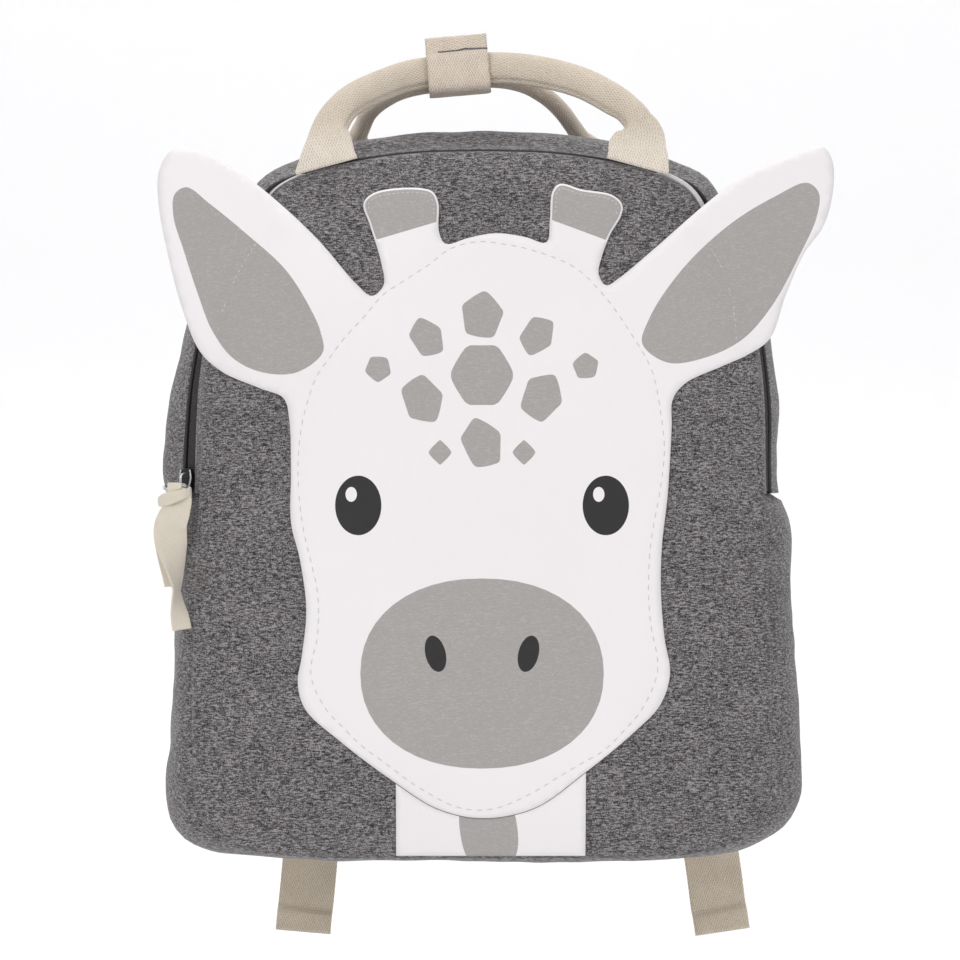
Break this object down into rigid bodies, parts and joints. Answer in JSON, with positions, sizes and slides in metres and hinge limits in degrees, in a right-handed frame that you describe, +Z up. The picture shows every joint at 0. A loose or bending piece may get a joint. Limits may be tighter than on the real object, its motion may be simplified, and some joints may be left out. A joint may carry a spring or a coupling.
{
  "type": "kids animal backpack",
  "caption": "Grey marl cloth rucksack for a child with a giraffe head sewn on its front, ears standing out past the sides, rolled grab handles, a curved zip and padded straps",
  "frame": {"origin": "the underside of the handle wrap, where a hook or a hand carries the hanging bag", "axes": "X to the right of the bag seen from its giraffe face, Y from the face to the back panel, Z up"},
  "size_m": [0.3114, 0.1443, 0.427],
  "materials": {
    "marl_cloth": "dark grey marl knit with fine speckles, matt",
    "pale_marl": "light grey marl jersey with a fine rib, matt",
    "face_print": "pale jersey with smooth white, grey and black ink, slight sheen",
    "cotton_webbing": "natural undyed cotton webbing, coarse weave, matt",
    "cotton_tape": "natural cotton tape, fine weave, matt",
    "zip_nylon": "dark grey nylon coil and tape",
    "zip_metal": "bright plated metal",
    "lock_plastic": "natural coloured moulded plastic"
  },
  "bodies": {
    "root": {"front_panel": "marl_cloth", "back_panel": "marl_cloth", "base_gusset": "marl_cloth", "zip_flap": "marl_cloth", "zip_gusset": "marl_cloth", "zipper": "zip_nylon", "seam_binding": "pale_marl", "giraffe_head": "face_print", "ear_back_left": "pale_marl", "ear_back_right": "pale_marl", "neck_patch": "face_print", "front_handle": "cotton_webbing", "rear_handle": "cotton_webbing", "handle_wrap": "cotton_webbing", "strap_yoke": "marl_cloth", "zip_slider": "zip_metal", "pull_ring": "zip_metal", "pull_tape": "cotton_tape", "shoulder_strap_left": "marl_cloth", "lock_loop_left": "cotton_webbing", "ladder_lock_left": "lock_plastic", "lower_webbing_left": "cotton_webbing", "webbing_anchor_left": "marl_cloth", "shoulder_strap_right": "marl_cloth", "lock_loop_right": "cotton_webbing", "ladder_lock_right": "lock_plastic", "lower_webbing_right": "cotton_webbing", "webbing_anchor_right": "marl_cloth"}
  },
  "joints": []
}
